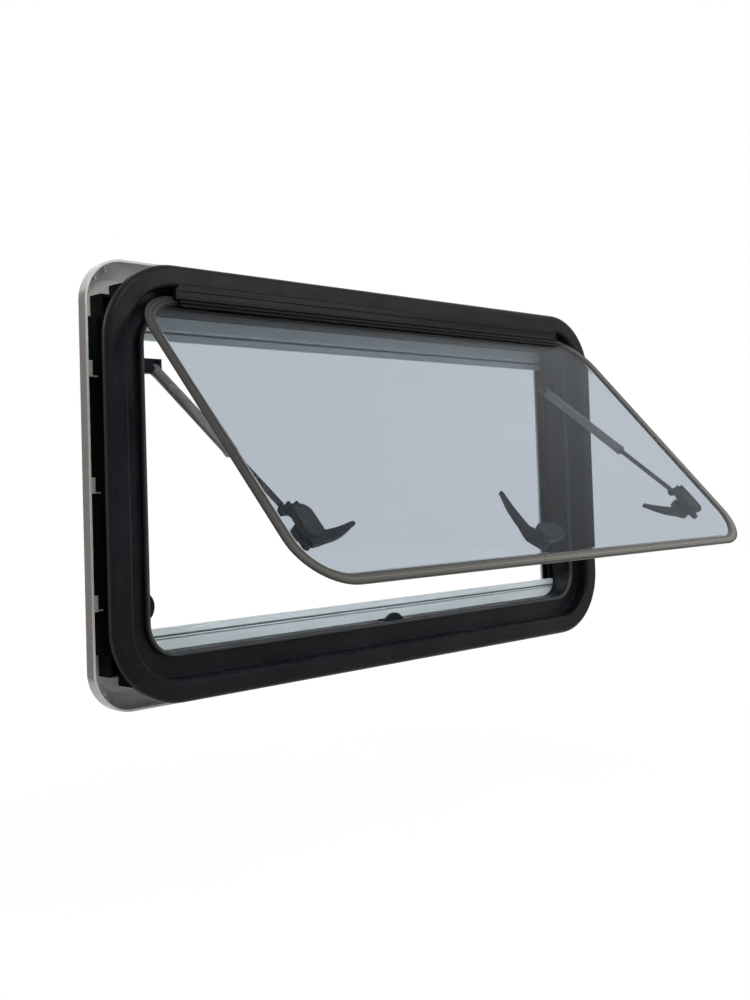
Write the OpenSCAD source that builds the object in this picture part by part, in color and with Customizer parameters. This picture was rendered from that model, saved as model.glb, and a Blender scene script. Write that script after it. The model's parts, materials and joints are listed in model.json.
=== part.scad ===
// Top-hung push-out window for a caravan or camper wall.
// The outer frame sits on the outside of the wall and passes through the cut-out. The inner trim,
// with its side rails, insect screen and blind, closes the inside. All sizes are in millimetres.
// X runs to the right as seen from outside, Y runs into the vehicle and Z runs up. The origin is the
// centre of the wall cut-out, on the wall's outer face.

/* [Window] */
// Width of the outer flange
flange_w = 890; // [700:10:1400]
// Height of the outer flange
flange_h = 490; // [420:10:800]
// Corner radius of the outer flange
flange_r = 90; // [82:2:120]
// How far the flange covers the wall past the cut-out
overlap = 20; // [18:1:22]
// Thickness of the vehicle wall
wall_t = 30; // [28:1:45]
// Angle at which the sash stands open
open_angle = 43; // [0:1:50]

/* [Outer frame] */
// Height of the flange in front of the wall
flange_t = 11; // [9:1:14]
// Width of the frame from its outer edge to the clear opening
ring_w = 55; // [53:1:60]
// Distance from the outer edge to the rebate wall
rebate_in = 26; // [25:1:28]
// Depth of the rebate floor behind the wall's outer face
rebate_y = 9; // [8:1:11]
// Wall thickness of the frame moulding
frame_wall = 4; // [3:0.5:5]

/* [Sash] */
// Gap between the sash edge and the rebate wall at each side
sash_gap = 6; // [4:0.5:8]
// Thickness of the outer sheet
sheet_t = 3; // [2.5:0.5:4]
// Thickness of the formed inner sheet
tray_t = 2; // [1.5:0.5:2.5]
// Air gap between the two sheets
air_gap = 2; // [1.5:0.5:4]
// Width of the bonded border round the sash
border_w = 14; // [10:1:20]
// Corner radius of the sash
sash_r = 62; // [50:2:64]

/* [Stays] */
// Distance of each stay from the clear opening's side
stay_in = 25; // [23:1:30]
// Outer diameter of the stay tube
tube_d = 13; // [11:1:14]
// Diameter of the stay rod
rod_d = 6.5; // [5.5:0.5:8]
// Length of the stay tube from its pivot
tube_len = 166; // [150:2:175]
// Diameter of the stay pivot pins
pin_d = 5; // [4:0.5:6]

/* [Latches] */
// Reach of the latch tongue from its pivot
tongue_len = 24; // [22:0.5:25]
// Length of the latch handle from its pivot
handle_len = 84; // [60:1:90]
// How far a keeper stands out from the frame
keeper_h = 9.5; // [9:0.5:11]

/* [Inner trim] */
// How much wider the trim is than the outer flange
trim_more_w = 2; // [0:1:6]
// How much taller the trim is than the outer flange
trim_more_h = 14; // [12:1:18]
// Corner radius of the trim
trim_r = 48; // [46:2:60]
// Width of the trim's face from its outer edge to its opening
trim_face = 59; // [56:1:60]
// Depth of the trim from its rim to its face
trim_d = 29; // [29:1:34]
// Wall thickness of the trim
trim_wall = 2.5; // [2:0.5:3.5]

/* [Blinds] */
// Height of each pull bar
bar_h = 12; // [10:1:16]
// Thickness of each pull bar
bar_t = 6; // [5:0.5:6.5]
// Distance of a parked pull bar's inner edge from the window's middle
bar_park = 165.5; // [160:0.5:170]
// Radius of the cloth wound on a roller
roll_r = 7; // [6.5:0.5:7.5]
// Radius of a roller tube
core_r = 5.5; // [5:0.5:6]

/* [Hidden] */
$fn = 64;

eps = 0.01;
fit = 0.3;          // gap between pieces that move past each other
pin_fit = 0.1;      // radial gap of a pin in its hole
black = [0.12, 0.13, 0.15];
dark = [0.2, 0.2, 0.21];
grey = [0.45, 0.44, 0.42];
pale = [0.76, 0.8, 0.8];

// Clear opening
open_w = flange_w - 2 * ring_w;
open_h = flange_h - 2 * ring_w;
open_r = flange_r - ring_w;
trim_w = flange_w + trim_more_w;
trim_h = flange_h + trim_more_h;
half_w = open_w / 2;
half_h = open_h / 2;
tub_in = overlap + 2;               // outer face of the part that passes through the wall
reveal_y = wall_t + 1;              // inner end of the frame
ridge_y = 5;                        // front of the ridge that carries the pane seal
ridge_w = 5;

// Hinge
axis_y = -10.2;
pane_off = 3.5;                     // outer pane's face behind the hinge axis
axis_z = flange_h / 2 - rebate_in - 12.1;
hinge_half = (flange_w / 2 - rebate_in - sash_gap) - sash_r + 2;

// Sash, measured down from the hinge axis
sash_w = flange_w - 2 * (rebate_in + sash_gap);
sash_top = 8;
sash_low = axis_z + flange_h / 2 - rebate_in - 5.5;
sash_h = sash_top + sash_low;
sash_t = sheet_t + air_gap + tray_t;
tray_in = 4.5;                      // inner sheet's edge inside the outer sheet's

// Stays
stay_x = half_w - stay_in;
stay_y = 22;
stay_z = axis_z - 76.9;
pivot_v = 306;                      // pane-side pivot below the hinge axis
pivot_n = 21.5;                     // and behind the pane's outer face
eye_r = 5.5;
eye_t = 7;
eye_gap = eye_t / 2 + 0.4;
pivot_y = axis_y + (pane_off + pivot_n) * cos(open_angle) - pivot_v * sin(open_angle);
pivot_z = axis_z - (pane_off + pivot_n) * sin(open_angle) - pivot_v * cos(open_angle);
stay_phi = atan2(stay_y - pivot_y, stay_z - pivot_z);
stay_len = sqrt(pow(stay_y - pivot_y, 2) + pow(stay_z - pivot_z, 2));
tube_bore = tube_d - 2.4;
rod_reach = 112;                    // length of rod beyond the tube's mouth as modelled
piston_len = 12;

// Latches, in the plane of the pane; depths are above the inner pane
latch_x = half_w - 28;
latch_v = 333;
latch_mid_v = axis_z + half_h - 24.9;
latch_mid_x = -6;                   // middle latch's pivot from the keeper's middle
keeper_y = rebate_y - 0.5;
keeper_drop = 10.5;                 // keeper centre below its latch
tongue_y = 13.3;
tongue_t = 5;
tongue_side = -77;                  // released tongue's angle from the line to the frame
tongue_mid = 95;
mid_turn = 6;                       // middle handle's extra turn when released
lever_y = 15.3;
lever_t = 8;
dome_r = 12.5;
dome_half = 10.5;                   // half the distance between the two ends of the base
base_side = [-2.5, 0, 0.5];          // base centre from the lever's pivot, side latches
base_mid = [-2.5, 0, -latch_mid_x];  // and middle latch
dome_h = tongue_y - 0.4;
post_r = 6;
button_r = 5;
button_travel = 2;

// Blinds
screen_y = reveal_y + 18.5;
blind_y = reveal_y + 8.5;
cas_y0 = reveal_y + 0.5;
cas_y1 = wall_t + trim_d - trim_wall - 0.5;
cas_z0 = half_h + 2;
cas_z1 = half_h + 36;
cas_wall = 1.4;
cas_half = half_w + 5;
roll_z = half_h + 19;
rail_w = 34;
rail_half = cas_z0 - 5;
rail_y1 = wall_t + 25;
slot_d = 14;
bar_half = half_w + slot_d - 4;
shoe_end = bar_half + 3;
web_half = bar_half - 7.5;
web_t = 0.6;

// Screw places along the frame
screw_u = 32;
screw_z = [-120, 0, 120];
hinge_screw_x = [for (i = [-2:2]) i * 0.425 * hinge_half];
hinge_flange = 10.2;                // underside of the hinge rail's flange, above the axis

function arc(cx, cy, r, a0, a1, n = 5) =
    [for (i = [0:n]) let (a = a0 + (a1 - a0) * i / n) [cx + r * cos(a), cy + r * sin(a)]];

// Sweeps a profile round a rounded rectangle. Its points are (inset from the outer edge, depth).
module ring(w, h, r, profile) {
    for (s = [0, 1]) {
        mirror([0, 0, s]) translate([-(w / 2 - r), 0, h / 2]) rotate([0, 90, 0])
            linear_extrude(w - 2 * r) polygon(profile);
        mirror([s, 0, 0]) translate([-w / 2, 0, -(h / 2 - r)])
            linear_extrude(h - 2 * r) polygon(profile);
    }
    for (sx = [0, 1], sz = [0, 1])
        mirror([sx, 0, 0]) mirror([0, 0, sz]) translate([w / 2 - r, 0, -(h / 2 - r)]) rotate([-90, 0, 0])
            rotate_extrude(angle = 90) polygon([for (p = profile) [r - p[0], p[1]]]);
}

// A plate with rounded corners, from depth y0 to y1
module plate(w, h, r, y0, y1) {
    translate([0, y1, 0]) rotate([90, 0, 0]) linear_extrude(y1 - y0) {
        square([w, h - 2 * r], center = true);
        square([w - 2 * r, h], center = true);
        for (sx = [-1, 1], sz = [-1, 1])
            translate([sx * (w / 2 - r), sz * (h / 2 - r)]) circle(r);
    }
}

// A profile in (depth, height) drawn out along X
module along_x(x0, x1) {
    translate([x0, 0, 0]) rotate([90, 0, 90]) linear_extrude(x1 - x0) children();
}

module rod_x(x0, x1, r) {
    translate([x0, 0, 0]) rotate([0, 90, 0]) cylinder(h = x1 - x0, r = r);
}

module rod_y(y0, y1, r) {
    translate([0, y0, 0]) rotate([-90, 0, 0]) cylinder(h = y1 - y0, r = r);
}

module box(x0, x1, y0, y1, z0, z1) {
    translate([x0, y0, z0]) cube([x1 - x0, y1 - y0, z1 - z0]);
}

// Turns with the sash about the hinge axis
module on_sash() {
    translate([0, axis_y, axis_z]) rotate([-open_angle, 0, 0]) children();
}

// Local frame of a stay: its pivot at the origin, the rod pointing down
module on_stay(side) {
    translate([side * stay_x, stay_y, stay_z]) rotate([-stay_phi, 0, 0]) children();
}

// Local frame of a latch: pivot at the origin on the inner pane, X towards its keeper
module on_latch(place) {
    on_sash() {
        if (place == "middle")
            translate([latch_mid_x, pane_off + sash_t, -latch_mid_v]) rotate([0, 90, 0]) children();
        else
            mirror([place == "left" ? 1 : 0, 0, 0])
                translate([latch_x, pane_off + sash_t, -latch_v]) children();
    }
}

// ---- Outer frame ----

frame_profile = concat(
    [[0, 0]],
    arc(7, 7 - flange_t, 7, 180, 270, 6),
    arc(rebate_in - 5, 5 - flange_t, 5, 270, 360, 5),
    arc(rebate_in + 2, rebate_y - 2, 2, 180, 90, 3),
    [[ring_w - ridge_w, rebate_y]],
    arc(ring_w - ridge_w + 0.8, ridge_y + 0.8, 0.8, 180, 270, 2),
    arc(ring_w - 0.8, ridge_y + 0.8, 0.8, 270, 360, 2),
    [[ring_w, reveal_y], [ring_w - frame_wall, reveal_y], [ring_w - frame_wall, rebate_y + frame_wall],
    [tub_in, rebate_y + frame_wall], [tub_in, 0]]);

gasket_profile = [[6.5, -1.5], [17.5, -1.5], [17.5, 0], [6.5, 0]];

// Places of the screws that clamp the rails to the frame
module at_screws() {
    for (s = [-1, 1], z = screw_z) translate([s * (flange_w / 2 - screw_u), 0, z]) children();
}

// Places of the screws that hold the hinge rail up into the frame
module at_hinge_screws() {
    for (x = hinge_screw_x) translate([x, axis_y + 10.5, axis_z + hinge_flange]) children();
}

module outer_frame() {
    color(black) difference() {
        union() {
            ring(flange_w, flange_h, flange_r, frame_profile);
            at_screws() rod_y(rebate_y + frame_wall - eps, reveal_y, 4.5);
        }
        ring(flange_w, flange_h, flange_r, [[6.5, -1.5], [17.5, -1.5], [17.5, 1], [6.5, 1]]);
        at_screws() rod_y(reveal_y - 14, reveal_y + 1, 1.6);
        at_hinge_screws() cylinder(h = 5.2, r = 1.7);
    }
}

module wall_gasket() {
    color(dark) ring(flange_w, flange_h, flange_r, gasket_profile);
}

// Hollow rubber bulb that clips over the ridge
module pane_seal() {
    u = ring_w - ridge_w / 2;
    crest = axis_y + pane_off + sash_t + 0.35;
    r = (ridge_y - crest) / 2;
    color(dark) ring(flange_w, flange_h, flange_r,
        concat(arc(u, ridge_y - r, r, 125, -235 + 360 + 290, 14), [[u + 1.6, ridge_y], [u - 1.6, ridge_y]]));
}

// ---- Hinge ----

groove_r = 2.1;
bead_r = 2;
claw_r = 3.2;

module hinge_rail() {
    color(dark) difference() {
        hinge_section();
        at_hinge_screws() translate([0, 0, -1]) cylinder(h = 5, r = 1.7);
    }
}

module hinge_section() {
    translate([0, axis_y, axis_z]) difference() {
        union() {
            rod_x(-hinge_half, hinge_half, claw_r);
            along_x(-hinge_half, hinge_half) {
                polygon([[-2.4, 2], [0.6, 2], [0.6, hinge_flange], [15, hinge_flange], [15, 11.8], [-1.4, 11.8],
                    [-1.4, 14.6], [-2.6, 15.4], [-3.2, 14.6], [-3.2, 9], [-2.4, 8]]);
            }
        }
        rod_x(-hinge_half - 1, hinge_half + 1, groove_r);
        along_x(-hinge_half - 1, hinge_half + 1)
            polygon([[0, 0], [claw_r * 2 * sin(25), -claw_r * 2 * cos(25)], [0, -claw_r * 2.4],
                [-claw_r * 2.4, -claw_r * 2.4], [-claw_r * 2 * sin(75), -claw_r * 2 * cos(75)]]);
    }
}

module hinge_end_caps() {
    color(dark) for (s = [0, 1]) mirror([s, 0, 0])
        translate([hinge_half + 0.2, axis_y, axis_z]) {
            rod_x(0, 3, claw_r);
            box(0, 3, -3.2, 3, 2, 11.8);
        }
}

module hinge_screws() {
    color(grey) at_hinge_screws() {
        translate([0, 0, -1.6]) cylinder(h = 1.6, r = 3);
        cylinder(h = 4.8, r = 1.6);
    }
}

module hinge_blade() {
    color(grey) on_sash() {
        rod_x(-hinge_half + 1, hinge_half - 1, bead_r);
        along_x(-hinge_half + 1, hinge_half - 1)
            polygon([[-0.7, 0], [0.7, 0], [0.7, -6], [pane_off, -6], [pane_off, -11], [2, -11],
                [1.2, -8], [-0.7, -8]]);
    }
}

// ---- Sash ----

module sash_plate(inset, y0, y1) {
    translate([0, pane_off, (sash_top - sash_low) / 2])
        plate(sash_w - 2 * inset, sash_h - 2 * inset, sash_r - inset, y0, y1);
}

module outer_pane() {
    color([0.55, 0.6, 0.66, 0.4]) on_sash() sash_plate(0, 0, sheet_t);
}

module inner_pane() {
    color([0.6, 0.64, 0.68, 0.4]) on_sash() difference() {
        union() {
            sash_plate(tray_in, sheet_t, sheet_t + tray_t);
            sash_plate(border_w - 1, sheet_t, sash_t);
        }
        sash_plate(border_w + 1, sheet_t - 1, sheet_t + air_gap);
    }
}

// ---- Latches ----

dome_profile = concat([[0, 4], [0, dome_h]], arc(dome_r - 7, dome_h - 5, 5, 90, 15, 5), [[dome_r - 0.5, 4]]);

// A dome drawn out along Z, with its profile as (radius, height)
module long_dome(half, profile) {
    mirrored = [for (i = [len(profile) - 1:-1:0]) [-profile[i][0], profile[i][1]]];
    for (s = [-1, 1]) translate([0, 0, s * half]) rotate([-90, 0, 0]) rotate_extrude() polygon(profile);
    translate([0, 0, -half]) linear_extrude(2 * half) polygon(concat(profile, mirrored));
}

module stadium(half, r, y0, y1) {
    for (s = [-1, 1]) translate([0, 0, s * half]) rod_y(y0, y1, r);
    box(-r, r, y0, y1, -half, half);
}

// Fork on the upper end of a side latch's base. It holds the rod's eye between its cheeks.
module stay_fork() {
    cheek = 3;
    top = pivot_n - sash_t;
    translate([stay_x - latch_x, 0, latch_v - pivot_v]) {
        box(-eye_gap - cheek, eye_gap + cheek, 0.8, 3.6, -16, -3);
        for (x = [-eye_gap - cheek, eye_gap]) {
            translate([x, top, 0]) rod_x(0, cheek, 5.5);
            box(x, x + cheek, 0.8, top, -5.5, 0);
            box(x, x + cheek, 0.8, top - 5, -14, -5);
            box(x, x + cheek, top - 4, top, -1, 5);
        }
        translate([0, top, 0]) {
            rod_x(-eye_gap - cheek / 2, -eye_gap + 0.3, 3.4);
            rod_x(eye_gap - 0.3, eye_gap + cheek / 2, 3.4);
        }
    }
}

module latch_base(place) {
    color(black) on_latch(place) difference() {
        union() {
            translate(place == "middle" ? base_mid : base_side) {
                long_dome(dome_half, dome_profile);
                stadium(dome_half, dome_r, 0.8, 4);
            }
            rod_y(dome_h - 5, lever_y + 2.7, post_r);
            if (place != "middle") stay_fork();
        }
        rod_y(6, lever_y + 3, 1.4);
    }
}

// Rubber pads under the latch bases
module latch_pads() {
    color(dark) for (place = ["left", "right", "middle"])
        on_latch(place) translate(place == "middle" ? base_mid : base_side)
            stadium(dome_half, dome_r - 1, 0, 0.8);
}

// Screws that hold the levers on their posts
module latch_screws() {
    color(grey) for (place = ["left", "right", "middle"])
        on_latch(place) {
            rod_y(7, lever_y + 4.1, 1.3);
            rod_y(lever_y + 4, lever_y + 5, 3.6);
        }
}

// Lever outline about its pivot: handle to the left, elbow at the bottom
handle_tilt = 7.5;
tip_r = 2.4;
tip = [-handle_len * cos(handle_tilt), handle_len * sin(handle_tilt)];
root_top = [-24, -1.5];
elbow = [-9.5, -14.5];

// Points of a gentle curve from p to q, bowed to its left by bow
function bow_curve(p, q, bow, n = 10) =
    let (d = q - p, side = [-d[1], d[0]] / norm(d))
        [for (i = [0:n]) p + d * i / n + side * bow * sin(180 * i / n)];

lever_outline = concat(
    arc(0, 0, 9, -25, 70, 6),
    arc(-8, 2.5, 10.5, 75, 155, 5),
    bow_curve(root_top, tip + [1, tip_r], 1.5),
    arc(tip[0], tip[1], tip_r, 105, 255, 5),
    bow_curve(tip + [1, -tip_r], elbow + [-1, -2], -5),
    arc(elbow[0], elbow[1], 2.2, 250, 305, 3));

tongue_outline = concat(
    arc(0, 0, 8.5, 90, 270, 10),
    arc(tongue_len - 4.5, 0, 4.5, -90, 90, 8));

// The handle thins and lifts towards its tip, as (X, height)
lever_side = [[20, lever_y], [-26, lever_y], [-handle_len - 5, lever_y + 5.4],
    [-handle_len - 5, lever_y + lever_t + 1.4], [-30, lever_y + lever_t - 1.8],
    [-16, lever_y + lever_t], [20, lever_y + lever_t]];

module latch_lever(place) {
    color(black) on_latch(place) difference() {
        union() {
            rotate([0, place == "middle" ? -mid_turn : 0, 0]) intersection() {
                translate([0, lever_y + lever_t + 4, 0]) rotate([90, 0, 0])
                    linear_extrude(lever_t + 5) polygon(lever_outline);
                translate([0, 0, -30]) linear_extrude(60) polygon(lever_side);
            }
            translate([0, tongue_y + tongue_t, 0]) rotate([90, 0, 0])
                rotate([0, 0, place == "middle" ? tongue_mid : tongue_side])
                    linear_extrude(tongue_t) polygon(tongue_outline);
        }
        rod_y(tongue_y - 1, lever_y + 2.8, post_r + pin_fit);
        rod_y(lever_y + 2, lever_y + 4, 2);
        rod_y(lever_y + 3.9, lever_y + lever_t + 1, button_r + pin_fit);
    }
}

module latch_button(place) {
    y0 = lever_y + 5.2 + button_travel;
    color(dark) on_latch(place) translate([0, y0, 0]) rotate([-90, 0, 0])
        rotate_extrude() polygon(concat([[0, 0], [button_r, 0]],
            arc(button_r - 1.2, 2, 1.2, 0, 90, 3), [[0, 3.2]]));
}

// ---- Keepers ----

// Local frame: X points into the opening, the reveal is at x = 0
module keeper_shape() {
    r = 18;
    intersection() {
        translate([keeper_h - r, 0, 0]) rod_y(keeper_y, tongue_y - fit, r);
        box(0, keeper_h + 1, keeper_y - 1, tongue_y, -r, r);
    }
    box(0, 1.6, keeper_y, keeper_y + 16, -16, 16);
}

module keeper_left() {
    color(black) translate([-half_w, 0, axis_z - latch_v - keeper_drop]) keeper_shape();
}

module keeper_right() {
    color(black) mirror([1, 0, 0]) translate([-half_w, 0, axis_z - latch_v - keeper_drop]) keeper_shape();
}

module keeper_bottom() {
    color(black) translate([0, 0, -half_h]) rotate([0, -90, 0]) keeper_shape();
}

// ---- Stays ----

module stay_bracket(side) {
    color(black) mirror([side < 0 ? 1 : 0, 0, 0]) translate([stay_x, stay_y, stay_z]) difference() {
        union() {
            box(stay_in - 3.5, stay_in, -11, 8.5, -15, 15);
            box(eye_gap, stay_in - 3, -6, 7, -6, 10.5);
            box(-eye_gap - 3.4, eye_gap + 1, -6, 7, 7, 10.5);
            for (x0 = [eye_gap, -eye_gap - 3.4]) {
                rod_x(x0, x0 + 3.4, 6.5);
                box(x0, x0 + 3.4, -6, 6.5, 0, 8);
            }
        }
        rod_x(-eye_gap - 5, eye_gap + 5, pin_d / 2 + pin_fit);
    }
}

module stay_pins() {
    color(grey) for (s = [0, 1]) mirror([s, 0, 0]) translate([stay_x, stay_y, stay_z]) {
        rod_x(-eye_gap - 3.4, eye_gap + 4.8, pin_d / 2);
        rod_x(-eye_gap - 4.6, -eye_gap - 3.4, pin_d / 2 + 1.4);
    }
}

module stay_tube(side) {
    color(dark) on_stay(side) {
        difference() {
            union() {
                rod_x(-eye_t / 2, eye_t / 2, 5.8);
                box(-eye_t / 2, eye_t / 2, -5.8, 5.8, -11, 0);
            }
            rod_x(-eye_t, eye_t, pin_d / 2 + pin_fit);
        }
        difference() {
            translate([0, 0, -tube_len]) cylinder(h = tube_len - 9.5, r = tube_d / 2);
            translate([0, 0, -tube_len - 1]) cylinder(h = tube_len - 15, r = tube_bore / 2);
        }
    }
}

module stay_collar(side) {
    color(grey) on_stay(side) difference() {
        union() {
            translate([0, 0, -tube_len - 4]) cylinder(h = 4, r = tube_d / 2 + 0.6);
            translate([0, 0, -tube_len]) cylinder(h = 6, r = tube_bore / 2);
        }
        translate([0, 0, -tube_len - 5]) cylinder(h = 12, r = rod_d / 2 + fit);
    }
}

module stay_rod(side) {
    inside = 40;
    color(grey) on_stay(side) {
        translate([0, 0, -stay_len + 9]) cylinder(h = stay_len - tube_len + inside - 9, r = rod_d / 2);
        translate([0, 0, -tube_len + inside]) cylinder(h = piston_len, r = tube_bore / 2 - fit);
        translate([0, 0, -stay_len]) {
            rod_x(-eye_t / 2, eye_t / 2, eye_r);
            rod_x(-eye_t / 2 - 0.1, eye_t / 2 + 0.1, 3.4);
            translate([0, 0, 3]) cylinder(h = 8, r = rod_d / 2 - 0.6);
        }
    }
}

// ---- Side rails ----

module rail_profile() {
    y_b = blind_y - bar_t / 2 - 0.5;
    y_s = screen_y - bar_t / 2 - 0.5;
    slot = bar_t + 1;
    difference() {
        union() {
            translate([0, reveal_y + fit]) square([rail_w, rail_y1 - reveal_y - fit]);
            translate([0, rail_y1 - eps]) square([1.6, 1.2]);
            translate([rail_w - eps, reveal_y + 11]) square([10, 4]);
        }
        translate([-1, y_b]) square([slot_d + 1, slot]);
        translate([-1, y_s]) square([slot_d + 1, slot]);
        translate([slot_d + 3, reveal_y + 4]) square([rail_w - slot_d - 6, rail_y1 - reveal_y - 7]);
    }
}

module side_rail(side) {
    color(black) mirror([side < 0 ? 1 : 0, 0, 0]) difference() {
        translate([half_w, 0, -rail_half]) linear_extrude(2 * rail_half) rail_profile();
        for (z = screw_z) translate([flange_w / 2 - screw_u, 0, z]) {
            rod_y(reveal_y - 1, reveal_y + 5, 1.9);
            rod_y(rail_y1 - 4, rail_y1 + 1, 4.2);
        }
    }
}

module clamp_screws() {
    color(grey) at_screws() {
        rod_y(reveal_y - 12, reveal_y + 4, 1.5);
        rod_y(reveal_y + 4, reveal_y + 6.2, 3.6);
    }
}

// ---- Inner trim ----

trim_top = wall_t + trim_d;
skirt_d = 13;                       // depth of the trim's skirt before it turns in
fold_in = 40;                       // inset at which the flat of the face begins

trim_profile = concat(
    [[0, wall_t], [0, wall_t + skirt_d]],
    arc(5, wall_t + skirt_d, 5, 180, 125, 4),
    arc(20, trim_top - 6, 6, 125, 90, 3),
    [[fold_in, trim_top], [fold_in, trim_top - trim_wall]],
    arc(20, trim_top - 6, 6 - trim_wall, 90, 125, 3),
    arc(5, wall_t + skirt_d, 5 - trim_wall, 125, 180, 3),
    [[trim_wall, wall_t]]);

lip_profile = concat(
    [[trim_face, trim_top - trim_wall]],
    arc(trim_face - 2, trim_top - 2, 2, 0, 90, 4),
    [[fold_in, trim_top], [fold_in, trim_top - trim_wall]]);

// The face's straight sides run on past its square corners, which meet in a mitre
module trim_lip() {
    w = trim_w / 2;
    h = trim_h / 2;
    for (s = [0, 1]) {
        mirror([0, 0, s]) intersection() {
            translate([-w, 0, h]) rotate([0, 90, 0]) linear_extrude(trim_w) polygon(lip_profile);
            translate([0, trim_top + 1, 0]) rotate([90, 0, 0]) linear_extrude(20)
                polygon([[-w, h], [w, h], [w - h, 0], [h - w, 0]]);
        }
        mirror([s, 0, 0]) intersection() {
            translate([-w, 0, -h]) linear_extrude(trim_h) polygon(lip_profile);
            translate([0, trim_top + 1, 0]) rotate([90, 0, 0]) linear_extrude(20)
                polygon([[-w, h], [h - w, 0], [-w, -h]]);
        }
    }
}

module inner_trim() {
    rib = 1.6;
    color([0.72, 0.74, 0.74]) {
        ring(trim_w, trim_h, trim_r, trim_profile);
        trim_lip();
        for (sx = [0, 1], sz = [0, 1], a = [20, 45, 70])
            mirror([sx, 0, 0]) mirror([0, 0, sz])
                translate([trim_w / 2 - trim_r, 0, trim_h / 2 - trim_r]) rotate([0, -a, 0])
                    translate([trim_r - 12, wall_t + skirt_d, -rib / 2]) cube([8, 6, rib]);
    }
}

// Clips that hold the trim's skirt to the rails and cassettes
module trim_clips() {
    x_out = trim_w / 2 - trim_wall - fit;
    x_in = half_w + rail_w + 2;
    z_out = trim_h / 2 - trim_wall - fit;
    color(pale) {
        for (s = [0, 1], z = [-130, -1, 128]) mirror([s, 0, 0]) translate([0, 0, z]) {
            box(x_out - 7, x_out, wall_t + 4, wall_t + 11.7, -8.8, 8.8);
            box(x_in, x_out - 6, wall_t + 10, wall_t + 11.7, -8.8, -7);
        }
        for (s = [0, 1], x = [-300, -100, 100, 300]) mirror([0, 0, s]) translate([x, 0, 0]) {
            box(-8.8, 8.8, wall_t + 4, wall_t + 12, z_out - 7, z_out);
            box(-8.8, 8.8, wall_t + 10, wall_t + 12, cas_z1 + fit, z_out - 6);
        }
    }
}

// ---- Screen and blind ----

// Cassette section as (depth, height); the cloth leaves it at depth path_y
module cassette_profile(path_y) {
    difference() {
        translate([cas_y0, cas_z0]) square([cas_y1 - cas_y0, cas_z1 - cas_z0]);
        translate([cas_y0 + cas_wall, cas_z0 + cas_wall])
            square([cas_y1 - cas_y0 - 2 * cas_wall, cas_z1 - cas_z0 - 2 * cas_wall]);
        translate([path_y - 2.5, cas_z0 - 1]) square([5, 4]);
    }
}

// The cassette's lower lip runs between the side rails, behind the parked bar
module cassette(path_y) {
    y_lip = path_y - bar_t / 2 - 1.7;
    along_x(-cas_half, cas_half) cassette_profile(path_y);
    box(-half_w + 0.5, half_w - 0.5, y_lip, y_lip + 1.2, bar_park + bar_h + 1.2, cas_z0 + cas_wall);
}

module screen_cassette() {
    color(pale) cassette(screen_y);
}

module blind_cassette() {
    color(pale) mirror([0, 0, 1]) cassette(blind_y);
}

// End caps close a cassette and carry its roller on a short journal
module end_cap(roll_y) {
    reach = rail_w;
    z0 = rail_half + fit;
    difference() {
        box(cas_half + fit, half_w + reach, reveal_y + 3, cas_y1, z0, cas_z0 + 20);
        box(cas_half + 4, half_w + reach - 3, reveal_y + 2, cas_y1 - 4, z0 + 3, cas_z0 + 17);
    }
    box(cas_half + fit, cas_half + 4, cas_y0, cas_y1, cas_z0, cas_z1);
    translate([0, roll_y, roll_z]) {
        rod_x(cas_half - 1.2, cas_half + 1, 4.4);
        rod_x(cas_half - 8, cas_half + 1, 2.9);
    }
}

screen_roll_y = screen_y - roll_r - web_t / 2 - fit;
blind_roll_y = blind_y + roll_r + web_t / 2 + fit;

module screen_end_caps() {
    color(black) for (s = [0, 1]) mirror([s, 0, 0]) end_cap(screen_roll_y);
}

module blind_end_caps() {
    color(black) mirror([0, 0, 1]) for (s = [0, 1]) mirror([s, 0, 0]) end_cap(blind_roll_y);
}

module roller(roll_y) {
    translate([0, roll_y, roll_z]) difference() {
        rod_x(-cas_half + 2, cas_half - 2, core_r);
        for (s = [0, 1]) mirror([s, 0, 0]) rod_x(cas_half - 30, cas_half, 3);
        rod_x(-cas_half + 40, cas_half - 40, core_r - 1);
    }
}

module roll(roll_y) {
    translate([0, roll_y, roll_z]) difference() {
        rod_x(-web_half, web_half, roll_r);
        rod_x(-bar_half, bar_half, core_r);
    }
}

// Spring barrel inside a roller
module roller_spring(roll_y) {
    translate([0, roll_y, roll_z]) difference() {
        rod_x(cas_half - 190, cas_half - 60, core_r - 1.3);
        rod_x(cas_half - 191, cas_half - 59, core_r - 2.6);
    }
}

module screen_roller() {
    color(grey) roller(screen_roll_y);
}

module screen_roll() {
    color(dark) roll(screen_roll_y);
}

module screen_spring() {
    color(grey) roller_spring(screen_roll_y);
}

module blind_roller() {
    color(grey) mirror([0, 0, 1]) roller(blind_roll_y);
}

module blind_roll() {
    color(pale) mirror([0, 0, 1]) roll(blind_roll_y);
}

module blind_spring() {
    color(grey) mirror([0, 0, 1]) roller_spring(blind_roll_y);
}

// Pull bar section as (depth, height), with a finger groove on its room side
module bar_profile(path_y) {
    difference() {
        translate([path_y - bar_t / 2, bar_park]) square([bar_t, bar_h]);
        translate([path_y + bar_t / 2, bar_park + bar_h / 2]) circle(2.4);
    }
}

module pull_bar(path_y) {
    along_x(-bar_half, bar_half) bar_profile(path_y);
}

module bar_shoes(path_y) {
    for (s = [0, 1]) mirror([s, 0, 0])
        box(bar_half, shoe_end, path_y - bar_t / 2, path_y + bar_t / 2, bar_park + 1, bar_park + bar_h - 1);
}

module web(path_y) {
    box(-web_half, web_half, path_y - web_t / 2, path_y + web_t / 2, bar_park + bar_h, roll_z);
}

module screen_bar() {
    color(pale) pull_bar(screen_y);
}

module screen_bar_shoes() {
    color(dark) bar_shoes(screen_y);
}

module screen_web() {
    color(dark) web(screen_y);
}

module blind_bar() {
    color(pale) mirror([0, 0, 1]) pull_bar(blind_y);
}

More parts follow.
